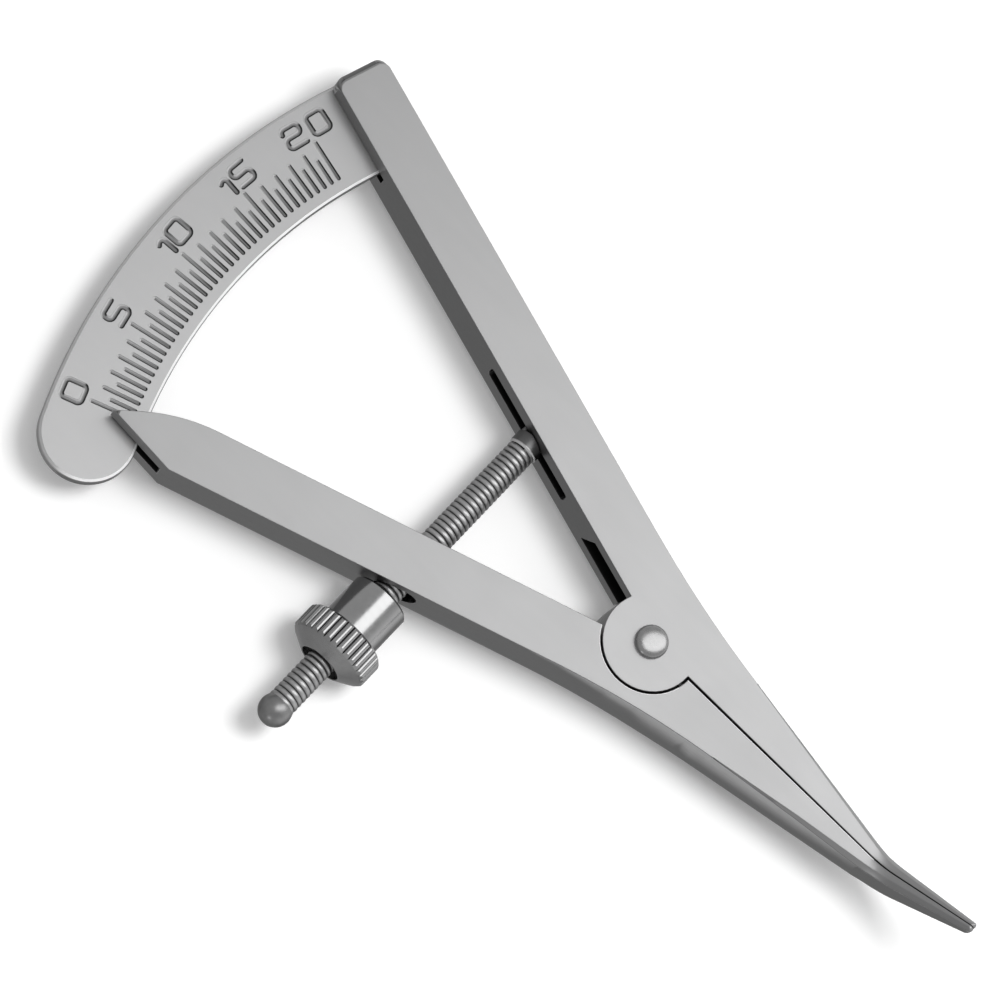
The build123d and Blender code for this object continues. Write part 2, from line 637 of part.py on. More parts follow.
# The origin goes to the middle of the box, at its lowest point
boxes = [solid.bounding_box() for group in pieces.values() for solid in group]
low_x, high_x = min(box.min.X for box in boxes), max(box.max.X for box in boxes)
low_y, high_y = min(box.min.Y for box in boxes), max(box.max.Y for box in boxes)
shift = Vector(-(low_x + high_x) / 2, -(low_y + high_y) / 2, -min(box.min.Z for box in boxes))
print("pivot:", [round(value, 4) for value in shift])
print("swivel:", [round(value, 4) for value in shift + SWIVEL_POINT])
print("sleeve start:", round(SLEEVE_START, 4), "opening angle:", round(OPENING_ANGLE, 4))

for name, group in pieces.items():
    moved = [Pos(*shift) * solid for solid in group]
    solids = [part for shape in moved for part in shape.solids()]
    export_step(solids[0] if len(solids) == 1 else Compound(solids), f"parts/{name}.step")
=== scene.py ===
"""Looks of a surgical caliper, built round its packed construction model.

The arms, the scale plate, the screw, the spring, the collar and the rivet are
made anew over their construction nodes, with softened edges, engraved marks, a
cut thread and a spring that bends. The nut and the pins keep their meshes and
get their finish here.
"""

from __future__ import annotations

import json
import logging
import math
from dataclasses import dataclass, field
from enum import Enum
from typing import Any, Callable, Iterable, Sequence

import bmesh
import bpy
from bmesh.types import BMEdge, BMFace, BMVert
from mathutils import Matrix, Vector
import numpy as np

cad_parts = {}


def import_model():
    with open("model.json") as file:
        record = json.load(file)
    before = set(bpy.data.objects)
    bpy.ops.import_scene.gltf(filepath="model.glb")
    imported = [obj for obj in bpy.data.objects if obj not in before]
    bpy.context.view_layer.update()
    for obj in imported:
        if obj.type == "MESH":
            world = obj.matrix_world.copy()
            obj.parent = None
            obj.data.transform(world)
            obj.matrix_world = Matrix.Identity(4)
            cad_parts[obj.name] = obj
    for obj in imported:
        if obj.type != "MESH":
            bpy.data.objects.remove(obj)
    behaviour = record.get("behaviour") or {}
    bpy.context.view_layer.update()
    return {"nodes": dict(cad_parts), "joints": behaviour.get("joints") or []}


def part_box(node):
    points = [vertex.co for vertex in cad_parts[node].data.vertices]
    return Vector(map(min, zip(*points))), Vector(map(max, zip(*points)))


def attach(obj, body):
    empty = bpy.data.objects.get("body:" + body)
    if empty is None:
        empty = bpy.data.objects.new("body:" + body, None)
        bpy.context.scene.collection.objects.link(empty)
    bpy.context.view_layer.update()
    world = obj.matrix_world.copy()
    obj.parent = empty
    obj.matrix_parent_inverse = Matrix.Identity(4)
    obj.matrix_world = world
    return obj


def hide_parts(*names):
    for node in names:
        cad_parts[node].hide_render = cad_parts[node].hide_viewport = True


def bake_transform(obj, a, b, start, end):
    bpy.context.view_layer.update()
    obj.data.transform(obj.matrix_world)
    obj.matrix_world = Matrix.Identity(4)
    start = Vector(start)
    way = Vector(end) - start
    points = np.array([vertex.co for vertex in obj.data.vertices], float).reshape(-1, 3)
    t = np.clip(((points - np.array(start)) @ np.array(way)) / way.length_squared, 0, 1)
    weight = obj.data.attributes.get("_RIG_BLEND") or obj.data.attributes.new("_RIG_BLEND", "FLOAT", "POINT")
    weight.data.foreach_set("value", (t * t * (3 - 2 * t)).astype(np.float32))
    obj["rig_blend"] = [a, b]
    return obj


MM = 0.001
LOG = logging.getLogger("caliper")
X_AXIS, Y_AXIS, Z_AXIS = Vector((1, 0, 0)), Vector((0, 1, 0)), Vector((0, 0, 1))

Span = tuple[float, float]
Triple = tuple[float, float, float]


class Shade:
    """A socket of a node tree that can be used in a Python expression."""

    def __init__(self, kit: NodeKit, socket: Any) -> None:
        """Wraps one output socket, or the node itself where it has none."""
        self.kit = kit
        self.socket = socket

    def _math(self, operation: str, *others: Any) -> Shade:
        """Adds a Math node that takes this shade and other operands."""
        return self.kit.node("ShaderNodeMath", {"operation": operation}, [self, *others])

    def __add__(self, other: Any) -> Shade:
        """Sum."""
        return self._math("ADD", other)

    __radd__ = __add__

    def __mul__(self, other: Any) -> Shade:
        """Product."""
        return self._math("MULTIPLY", other)

    __rmul__ = __mul__

    def __sub__(self, other: Any) -> Shade:
        """Difference."""
        return self._math("SUBTRACT", other)

    def __rsub__(self, other: Any) -> Shade:
        """Difference, with this shade as the second operand."""
        return self.kit.node("ShaderNodeMath", {"operation": "SUBTRACT"}, [other, self])

    def __pow__(self, other: Any) -> Shade:
        """Power."""
        return self._math("POWER", other)

    def size(self) -> Shade:
        """Absolute value."""
        return self._math("ABSOLUTE")

    def swing(self, reach: float) -> Shade:
        """From -reach to reach, for a shade from 0 to 1."""
        return (self - 0.5) * (2 * reach)

    def toward(self, target: Any, share: Any) -> Shade:
        """Goes a share of the way to a target."""
        return self + (target - self) * share

    def dim(self, share: Shade, least: float) -> Shade:
        """Falls to a least part of itself where the share is 1."""
        return self * (1.0 - share * (1 - least))

    def ramp(self, low: float, high: float) -> Shade:
        """Smooth step.

        Args:
            low: The value that gives 0.
            high: The value that gives 1.

        Returns:
            A shade from 0 to 1.
        """
        settings = {"interpolation_type": "SMOOTHSTEP", "clamp": True}
        inputs = {"Value": self, "From Min": low, "From Max": high}
        return self.kit.node("ShaderNodeMapRange", settings, inputs)


class NodeKit:
    """Builds the nodes of one material or world."""

    def __init__(self, owner: bpy.types.Material | bpy.types.World) -> None:
        """Starts with an empty tree.

        Args:
            owner: What gets the nodes.
        """
        owner.use_nodes = True
        self.tree = owner.node_tree
        self.tree.nodes.clear()

    def node(self, kind: str, settings: dict[str, Any], inputs: Any, output: Any = 0) -> Shade:
        """Adds one node.

        Args:
            kind: The node's type name.
            settings: Properties that are set first.
            inputs: Values or shades of its sockets, in order or by name.
            output: Index or name of the output to return.

        Returns:
            The chosen output, wrapped.
        """
        node = self.tree.nodes.new(kind)
        for key, value in settings.items():
            setattr(node, key, value)
        pairs = inputs.items() if isinstance(inputs, dict) else enumerate(inputs)
        for key, value in pairs:
            if isinstance(value, Shade):
                self.tree.links.new(value.socket, node.inputs[key])
            else:
                node.inputs[key].default_value = value
        return Shade(self, node.outputs[output] if len(node.outputs) else node)

    def place(self, turn: float = 0.0, stretch: Triple = (1.0, 1.0, 1.0)) -> Shade:
        """Object coordinates in millimetres, turned about +Z and stretched along each axis."""
        inputs = {
            "Vector": self.node("ShaderNodeTexCoord", {}, {}, "Object"),
            "Rotation": (0.0, 0.0, turn),
            "Scale": tuple(factor / MM for factor in stretch),
        }
        return self.node("ShaderNodeMapping", {"vector_type": "POINT"}, inputs)

    def noise(self, where: Shade, per_mm: float, detail: float) -> Shade:
        """Noise with a given number of cells in a millimetre."""
        inputs = {"Vector": where, "Scale": per_mm, "Detail": detail}
        return self.node("ShaderNodeTexNoise", {}, inputs)

    def part(self, vector: Shade, letter: str) -> Shade:
        """One part, X, Y or Z, of a vector."""
        return self.node("ShaderNodeSeparateXYZ", {}, [vector], letter)

    def mark(self, name: str) -> Shade:
        """1 on the faces that carry a mark, 0 elsewhere."""
        return self.node("ShaderNodeAttribute", {"attribute_name": name}, {}, "Fac")

    def facing(self, letter: str) -> Shade:
        """Part X, Y or Z of the surface's direction."""
        return self.part(self.node("ShaderNodeTexCoord", {}, {}, "Normal"), letter)

    def surface(self, inputs: dict[str, Any]) -> None:
        """Ends a material with a principled shader that has the given inputs."""
        shader = self.node("ShaderNodeBsdfPrincipled", {}, inputs)
        self.node("ShaderNodeOutputMaterial", {}, {"Surface": shader})

    def steel(self, rough: Shade, metallic: Shade, tone: Sequence[Shade], relief: Any) -> None:
        """Ends a material as steel.

        Args:
            rough: Roughness.
            metallic: How metallic it is.
            tone: Red, green and blue.
            relief: Height of the relief, as a shade, and its depth.
        """
        bump = {"Strength": 1.0, "Distance": relief[1], "Height": relief[0]}
        inputs = {
            "Base Color": self.node("ShaderNodeCombineColor", {}, tone),
            "Roughness": rough,
            "Metallic": metallic,
            "Normal": self.node("ShaderNodeBump", {}, bump),
        }
        self.surface(inputs)


@dataclass(frozen=True)
class Blasted:
    """Matte blasted steel of the arms and the plate; its flanks are painted darker, a painted shade.

    A grain gives the cells in a millimetre and the detail of a noise. A span
    gives two values between which something sets in. The facet, the groove's
    walls and the flat faces are told by how upright their direction is.
    """

    name: str
    face: float = 0.48
    face_roughness: float = 0.40
    # The flank value is lower than the face's: a painted shade.
    flank: float = 0.36
    flank_roughness: float = 0.34
    flat_span: Span = (0.35, 0.75)
    # Painted highlight on the leaning facet: how much lighter and whiter it is painted, and where it sets in
    # and ends.
    facet_highlight_gain: float = 1.35
    facet_highlight: float = 0.2
    facet_start: Span = (0.01, 0.09)
    facet_end: Span = (0.12, 0.20)
    # Value of the painted highlights.
    edge: float = 0.83
    blue: float = 1.006
    metallic: float = 1.0
    turn: float = 0.0
    grain: float = 0.0014 * MM
    mottle: float = 0.04
    cloud_grain: Span = (0.22, 4.0)
    cloud_roughness: float = 0.05
    speck_grain: Span = (9.0, 2.0)
    speck_roughness: float = 0.03
    smear_grain: Span = (1.3, 3.0)
    smear_stretch: Triple = (0.12, 0.6, 1.0)
    smear_share: float = 0.8
    line_grain: Span = (7.0, 4.0)
    line_stretch: Triple = (0.05, 1.0, 1.0)
    line_tone: float = 0.125
    line_relief: float = 0.8
    # Painted shade and highlight in the engraving: a darker floor, walls painted dark towards -X and light
    # towards +X, and a highlight on the light walls.
    groove_floor_shade: float = 0.46
    groove_wall_shade_and_highlight: Span = (0.08, 1.1)
    groove_wall_span: Span = (0.85, 0.98)
    groove_side_span: Span = (-0.08, 0.22)
    groove_wall_highlight: float = 0.32
    # Painted shade inside the slots: the heights between which it lies and the place along X up to which.
    hollow: Triple | None = None
    hollow_shade: float = 0.04
    hollow_flat: Span = (0.6, 0.8)
    hollow_rim: Span = (0.05, 0.15)
    hollow_end: Span = (0.0, 0.5)
    # Painted shade low on the bevel, below the brink height, on its +X side, where the painted highlight
    # stops.
    brink: float | None = None
    brink_shade: float = 0.55
    brink_span: Span = (0.0, 0.02)

    def make(self) -> bpy.types.Material:
        """Builds the material.

        Returns:
            The material.
        """
        material = bpy.data.materials.new(self.name)
        kit = NodeKit(material)
        where = kit.place()
        upright = kit.facing("Z").size()
        flat = upright.ramp(*self.flat_span)
        cloud = kit.noise(where, *self.cloud_grain)
        speck = kit.noise(where, *self.speck_grain)
        lines = kit.noise(kit.place(self.turn, self.line_stretch), *self.line_grain)
        smear = kit.noise(kit.place(self.turn, self.smear_stretch), *self.smear_grain)
        tone = 1.0 + cloud.swing(self.mottle) + smear.swing(self.mottle * self.smear_share)
        tone = tone + lines.swing(self.line_tone) * (1.0 - flat)
        # Painted shade: the flanks are painted darker than the front.
        value = (flat * (self.face - self.flank) + self.flank) * tone
        # Painted highlight: the leaning facet is painted lighter and whiter.
        leaning = upright.ramp(*self.facet_start) * (1.0 - upright.ramp(*self.facet_end))
        value = value * (leaning * self.facet_highlight_gain + 1.0)
        # Painted shade and highlight in the grooves, by which way their walls face.
        dark, light = self.groove_wall_shade_and_highlight
        engraved = kit.mark(Form.GROOVE)
        wall = 1.0 - upright.ramp(*self.groove_wall_span)
        side = kit.facing("X").ramp(*self.groove_side_span)
        groove = (side * (light - dark) + dark - self.groove_floor_shade) * wall + self.groove_floor_shade
        value = value * ((groove - 1.0) * engraved + 1.0)
        painted_highlight = kit.mark(Form.PAINTED_HIGHLIGHT) + engraved * wall * side * self.groove_wall_highlight
        painted_highlight = painted_highlight + leaning * self.facet_highlight
        # Painted shade low on the bevel, and no painted highlight there.
        if self.brink is not None:
            rise = kit.part(where, "Z") - self.brink / MM
            below = 1.0 - rise.ramp(*self.brink_span)
            painted_highlight = painted_highlight * (1.0 - below)
            value = value.dim(below * side, self.brink_shade)
        # Painted highlight: marked faces are painted towards the edge value.
        value = value.toward(self.edge, painted_highlight)
        rough = flat * (self.face_roughness - self.flank_roughness) + self.flank_roughness
        rough = rough + cloud.swing(self.cloud_roughness) + speck.swing(self.speck_roughness)
        # Painted shade inside the slots.
        if self.hollow is not None:
            low, high, reach = self.hollow
            height = kit.part(where, "Z")
            inside = upright.ramp(*self.hollow_flat)
            inside = inside * (height - low).ramp(*self.hollow_rim)
            inside = inside * (high - height).ramp(*self.hollow_rim)
            inside = inside * (reach - kit.part(where, "X")).ramp(*self.hollow_end)
            value = value.toward(self.hollow_shade, inside)
        relief = speck * flat + lines * (1.0 - flat) * self.line_relief
        tone = [value, value, value * self.blue]
        kit.steel(rough, (1.0 - painted_highlight) * self.metallic, tone, (relief, self.grain))
        return material


@dataclass(frozen=True)
class Turned:
    """Steel turned in a lathe, with fine rings, painted shade at its core, in grooves and on a stretch, and
    painted highlights.
    """

    name: str
    value: float = 0.55
    roughness: float = 0.2
    axis: Span = (0.0, 0.0)
    # Painted shade towards the axis, from the outer radius in to the inner.
    inner: float = 0.0
    outer: float = 0.0
    core_shade: float = 0.55
    # Value of the painted highlights.
    edge: float = 0.95
    blue: float = 1.004
    spots: float = 0.04
    spot_grain: Span = (1.6, 4.0)
    spot_roughness: float = 0.06
    rings: float = 3.0
    ring_detail: float = 3.0
    ring_stretch: Triple = (0.15, 1.0, 0.15)
    ring_roughness: float = 0.04
    grain: float = 0.0008 * MM
    # Stretches along Y painted in shade: start, end and how dark.
    shades: tuple[Triple, ...] = ()
    # Painted shade in the roots of the grooves.
    grooves: Triple | None = None
    groove_side: Span = (0.2, 0.4)
    groove_rise: Span = (-0.1, -0.05)

    def make(self) -> bpy.types.Material:
        """Builds the material.

        Returns:
            The material.
        """
        material = bpy.data.materials.new(self.name)
        kit = NodeKit(material)
        where = kit.place()
        spot = kit.noise(where, *self.spot_grain)
        fine = kit.noise(kit.place(0.0, self.ring_stretch), self.rings, self.ring_detail)
        value = spot.swing(self.spots) + self.value
        across = kit.part(where, "X") - self.axis[0] / MM
        rise = kit.part(where, "Z") - self.axis[1] / MM
        radius = (across * across + rise * rise) ** 0.5
        # Painted shade towards the core.
        if self.outer > 0:
            low = self.core_shade / self.value
            value = value * (radius.ramp(self.inner / MM, self.outer / MM) * (1 - low) + low)
        # Painted shade in the roots of the grooves.
        if self.grooves is not None:
            root, crest, least = self.grooves
            deep = 1.0 - radius.ramp(root / MM, crest / MM)
            deep = deep * (1.0 - kit.facing("Y").size().ramp(*self.groove_side))
            deep = deep * radius.ramp(*(root / MM + shift for shift in self.groove_rise))
            value = value.dim(deep, least)
        # Painted shade along stretches of Y.
        for start, end, least in self.shades:
            value = value.dim(kit.part(where, "Y").ramp(start / MM, end / MM), least)
        # Painted highlight on the marked faces.
        painted_highlight = kit.mark(Form.PAINTED_HIGHLIGHT)
        value = value.toward(self.edge, painted_highlight)
        rough = spot.swing(self.spot_roughness) + fine.swing(self.ring_roughness)
        tone = [value, value, value * self.blue]
        kit.steel(rough + self.roughness, 1.0 - painted_highlight, tone, (fine, self.grain))
        return material


def only(geom: Iterable[Any], kind: type) -> list[Any]:
    """The elements of one kind among mixed geometry."""
    return [element for element in geom if isinstance(element, kind)]


def verts_of(elements: Iterable[BMEdge | BMFace]) -> list[BMVert]:
    """The vertices of edges or faces, each once and in a fixed order."""
    return list(dict.fromkeys(vert for element in elements for vert in element.verts))


def polar(angle: float) -> Vector:
    """Direction in plan at an angle from +X."""
    return Vector((math.cos(angle), math.sin(angle), 0))


def aimed(place: Vector, heading: Vector) -> Matrix:
    """Matrix of something at a place whose own +Z looks along a heading."""
    turn = heading.to_track_quat("Z", "Y").to_matrix().to_4x4()
    return Matrix.Translation(place) @ turn


def smooth(mesh: bpy.types.Mesh, crease: float) -> None:
    """Shades a mesh smooth but for its edges past an angle in degrees."""
    mesh.shade_smooth()
    mesh.set_sharp_from_angle(angle=math.radians(crease))


class Form:
    """A mesh under construction, always in metres in the model's own frame."""

    # Face layer of painted highlights.
    PAINTED_HIGHLIGHT = "painted_highlight"
    GROOVE = "groove"
    FLAT = math.radians(0.4)
    SHARP = math.radians(28)
    NODE_WELD = 0.0002 * MM
    LATHE_WELD = 0.0005 * MM
    SCORE_WELD = 0.001 * MM

    def __init__(self, source: bpy.types.Object | None = None) -> None:
        """Starts empty or from a construction node.

        Args:
            source: A node whose mesh is copied and merged, or None.
        """
        self.bm = bmesh.new()
        if source is not None:
            self.bm.from_mesh(source.data)
            bmesh.ops.remove_doubles(self.bm, verts=self.bm.verts, dist=self.NODE_WELD)

    def flatten(self) -> None:
        """Joins the triangles of flat faces."""
        bmesh.ops.dissolve_limit(
            self.bm,
            angle_limit=self.FLAT,
            use_dissolve_boundaries=False,
            verts=self.bm.verts,
            edges=self.bm.edges,
            delimit=set(),
        )

    def outward(self) -> None:
        """Turns every face outwards."""
        bmesh.ops.recalc_face_normals(self.bm, faces=self.bm.faces)

    def soften(self, width: float) -> list[BMFace]:
        """Rounds the sharp edges.

        Args:
            width: Width of the rounding.

        Returns:
            The faces of the rounding.
        """
        # The layer of painted highlights.
        self.bm.faces.layers.float.new(self.PAINTED_HIGHLIGHT)
        self.bm.normal_update()
        edges = [edge for edge in self.bm.edges if edge.is_manifold]
        made = bmesh.ops.bevel(
            self.bm,
            geom=[edge for edge in edges if edge.calc_face_angle(0.0) > self.SHARP],
            offset=width,
            offset_type="OFFSET",
            affect="EDGES",
            segments=2,
            profile=0.5,
            material=-1,
            clamp_overlap=False,
            loop_slide=True,
        )
        self.bm.normal_update()
        return made["faces"]

    def paint_highlight(self, faces: Iterable[BMFace], test: Callable[[BMFace], bool]) -> None:
        """Marks faces for a painted highlight, in the layer that the form has already.

        Args:
            faces: The faces.
            test: Which of them are worn.
        """
        layer = self.bm.faces.layers.float[self.PAINTED_HIGHLIGHT]
        for face in filter(test, faces):
            face[layer] = 1.0

    def ring(self, centre: Vector, heading: Vector, radius: float, sides: int) -> list[BMEdge]:
        """Starts a round section.

        Args:
            centre: Its centre.
            heading: The direction that it looks along.
            radius: Its radius.
            sides: Number of its edges.

        Returns:
            Its edges.
        """
        matrix = aimed(centre, heading)
        made = bmesh.ops.create_circle(self.bm, segments=sides, radius=radius, matrix=matrix)
        return list(dict.fromkeys(edge for vert in made["verts"] for edge in vert.link_edges))

    def draw(self, ring: list[BMEdge], move: Vector) -> list[BMEdge]:
        """Draws a section along a straight run.

        Args:
            ring: Edges of the section.
            move: The run.

        Returns:
            The section's edges at the end of the run.
        """
        made = bmesh.ops.extrude_edge_only(self.bm, edges=ring)["geom"]
        bmesh.ops.translate(self.bm, verts=only(made, BMVert), vec=move)
        return [edge for edge in only(made, BMEdge) if len(edge.link_faces) == 1]

    def spin(self, edges: list[BMEdge], merge: bool = False, **sweep: Any) -> list[BMEdge]:
        """Sweeps edges round an axis.

        Args:
            edges: The edges.
            merge: Whether the sweep closes in itself.
            **sweep: The operator's cent, axis, angle, steps and dvec.

        Returns:
            The edges at the end of the sweep.
        """
        geom = verts_of(edges) + edges
        options = {"use_merge": merge, "use_duplicate": False}
        made = bmesh.ops.spin(self.bm, geom=geom, **options, **sweep)
        return only(made["geom_last"], BMEdge)

    def lathe(self, profile: Sequence[Span], start: Vector, axis: Vector, steps: int) -> None:
        """Turns a closed body.

        Args:
            profile: Points (radius, distance along the axis), closed in itself or with
                both ends on the axis.
            start: Point from which the distances run.
            axis: Direction of the axis.
            steps: Number of faces round it.
        """
        side = axis.orthogonal().normalized()
        new = self.bm.verts.new
        verts = [new(start + axis * along + side * radius) for radius, along in profile]
        pairs = list(zip(verts, verts[1:]))
        if profile[0][0] > 0:
            pairs.append((verts[-1], verts[0]))
        edges = [self.bm.edges.new(pair) for pair in pairs]
        self.spin(edges, True, cent=start, axis=axis, angle=2 * math.pi, steps=steps)
        bmesh.ops.remove_doubles(self.bm, verts=self.bm.verts, dist=self.LATHE_WELD)
        self.outward()

    def score(self, faces: list[BMFace], place: Vector, normal: Vector) -> None:
        """Splits faces along a plane, without taking anything away.

        Args:
            faces: The faces.
            place: A point on the plane.
            normal: The plane's normal.
        """
        edges = dict.fromkeys(edge for face in faces for edge in face.edges)
        geom = [*faces, *edges, *verts_of(faces)]
        plane = {"plane_co": place, "plane_no": normal}
        bmesh.ops.bisect_plane(self.bm, geom=geom, dist=self.SCORE_WELD, **plane)

    def cut(self, place: Vector, outward: Vector) -> None:
        """Takes away what lies outward of a plane, and closes the form there.

        Args:
            place: A point on the plane.
            outward: The plane's normal, towards what goes.
        """
        geom = self.bm.verts[:] + self.bm.edges[:] + self.bm.faces[:]
        plane = {"plane_co": place, "plane_no": outward, "clear_outer": True}
        cut = bmesh.ops.bisect_plane(self.bm, geom=geom, **plane)
        bmesh.ops.holes_fill(self.bm, edges=only(cut["geom_cut"], BMEdge), sides=0)

    def join(self, other: Form) -> None:
        """Adds another form's mesh.

        Args:
            other: The other form, which is freed.
        """
        mesh = bpy.data.meshes.new("joined")
        other.bm.to_mesh(mesh)
        other.bm.free()
        self.bm.from_mesh(mesh)
        bpy.data.meshes.remove(mesh)

    def piece(self, name: str, crease: float = 40, weighted: bool = False) -> bpy.types.Object:
        """Turns the form into an object.

        Args:
            name: The object's name.
            crease: Angle in degrees past which an edge shades sharp.
            weighted: Whether large faces keep their own normals.

        Returns:
            The linked object.
        """
        mesh = bpy.data.meshes.new(name)
        self.bm.to_mesh(mesh)
        self.bm.free()
        smooth(mesh, crease)
        piece = bpy.data.objects.new(name, mesh)
        bpy.context.scene.collection.objects.link(piece)
        if weighted:
            piece.modifiers.new("face_normals", "WEIGHTED_NORMAL").keep_sharp = True
        return piece


def dress(piece: bpy.types.Object, material: bpy.types.Material) -> None:
    """Gives a piece one material in every slot.

    Args:
        piece: The piece.
        material: The material.
    """
    if not piece.data.materials:
        piece.data.materials.append(material)
    for slot in piece.material_slots:
        slot.link = "OBJECT"
        slot.material = material


@dataclass
class Part:
    """A sub-assembly that is built round one joint of the frame."""

    nodes: dict[str, bpy.types.Object]
    joint: Vector
    made: list[bpy.types.Object] = field(default_factory=list)

    def build(self) -> None:
        """Makes the pieces and puts them on the list."""
        raise NotImplementedError

    def enter(self, piece: bpy.types.Object, node: str, slot: str, body: str = "") -> None:
        """Enters a dressed piece in place of a construction node.

        Args:
            piece: The piece.
            node: The node.
            slot: Its material slot; not used.
            body: The body that it rides on, or nothing where it is blended already.
        """
        if body:
            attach(piece, body)
        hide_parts(node)
        self.made.append(piece)

    def around(self, radius: float, angle: float) -> Vector:
        """Plan point at a radius and an angle about the joint."""
        x, y = self.joint.xy
        return Vector((x + radius * math.cos(angle), y + radius * math.sin(angle), 0))


class Graver:
    """A round tool whose path sinks a groove with rounded ends into a flat face."""

    SIDES = 16
    END_STEPS = 3
    LEAST_TURNS = 2
    TURN_STEP = math.radians(15)
    WELD = 0.001 * MM

    def __init__(self, form: Form, width: float, depth: float, face: float) -> None:
        """Sets the tool.

        Args:
            form: The form that collects the tool's swept solids.
            width: Width of the groove at the face.
            depth: Depth of the groove.
            face: Height of the face.
        """
        self.form = form
        self.radius = (width * width / 4 + depth * depth) / (2 * depth)
        self.height = face - depth + self.radius

    def cut(self, points: Sequence[Vector], corner: float = 0.0, closed: bool = False) -> None:
        """Sweeps the tool along straight runs with rounded corners.

        Args:
            points: Plan points of the path.
            corner: Radius of the corners.
            closed: Whether the path returns to its start.
        """
        form = self.form
        path = [Vector((point.x, point.y, self.height)) for point in points]
        if closed:
            middle = (path[0] + path[-1]) / 2
            path = [middle, *path, middle]
        heading = (path[1] - path[0]).normalized()
        start = form.ring(path[0], heading, self.radius, self.SIDES)
        if not closed:
            self._end(start, path[0], -heading)
        ring, spot = start, path[0]
        for before, here, after in zip(path, path[1:], path[2:]):
            incoming, outgoing = (here - before).normalized(), (after - here).normalized()
            turn = incoming.angle(outgoing)
            side = math.copysign(1.0, incoming.cross(outgoing).z)
            reach = corner * math.tan(turn / 2)
            entry = here - incoming * reach
            ring = form.draw(ring, entry - spot)
            centre = entry + Vector((-incoming.y, incoming.x, 0)) * side * corner
            steps = max(self.LEAST_TURNS, round(turn / self.TURN_STEP))
            ring = form.spin(ring, cent=centre, axis=Z_AXIS, angle=turn * side, steps=steps)
            spot = here + outgoing * reach
        ring = form.draw(ring, path[-1] - spot)
        if closed:
            bmesh.ops.remove_doubles(form.bm, verts=verts_of(ring + start), dist=self.WELD)
        else:
            self._end(ring, path[-1], (path[-1] - path[-2]).normalized())

    def _end(self, ring: list[BMEdge], centre: Vector, heading: Vector) -> None:
        """Closes the section with a half ball.

        Args:
            ring: Edges of the section.
            centre: Centre of the ball.
            heading: The way the ball bulges.
        """
        bm = self.form.bm
        bulge = heading * self.radius
        angle = 0.0
        for _ in range(self.END_STEPS):
            following = angle + math.pi / 2 / (self.END_STEPS + 1)
            ring = self.form.draw(ring, bulge * (math.sin(following) - math.sin(angle)))
            space = Matrix.Translation(-centre - bulge * math.sin(following))
            share = math.cos(following) / math.cos(angle)
            bmesh.ops.scale(bm, verts=verts_of(ring), vec=(share,) * 3, space=space)
            angle = following
        made = bmesh.ops.extrude_edge_only(bm, edges=ring)["geom"]
        bmesh.ops.pointmerge(bm, verts=only(made, BMVert), merge_co=centre + bulge)


class Tick(Enum):
    """Lengths of the graduations, by the radius at which they end."""

    HALF = 47.1 * MM
    WHOLE = 48.0 * MM
    FIFTH = 48.45 * MM


@dataclass
class Figures:
    """Shapes of the figures, drawn as a tool path about their middle."""

    half_width: float = 0.77 * MM
    half_height: float = 0.88 * MM
    corner: float = 0.36 * MM
    room: float = 1.05
    flag: float = 0.60 * MM
    flag_drop: float = 0.85
    stroke: float = 0.48 * MM
    hook: float = 0.85

    def path(self, figure: str) -> tuple[list[Vector], bool]:
        """Points of a figure.

        Args:
            figure: One of 0, 1, 2 and 5.

        Returns:
            The points, and whether the path is closed.
        """
        w, h = self.half_width, self.half_height
        hook, stem = h - self.corner * self.room, self.flag / 2
        shapes = {
            "0": ((-w, -h), (-w, h), (w, h), (w, -h)),
            "1": ((-stem, h - self.flag * self.flag_drop), (stem, h), (stem, -h)),
            "2": ((-w, hook), (-w, h), (w, h), (w, 0), (-w, 0), (-w, -h), (w, -h)),
            "5": ((w * self.hook, h), (-w, h), (-w, 0), (w, 0), (w, -h), (-w * self.hook, -h)),
        }
        return [Vector(point) for point in shapes[figure]], figure == "0"


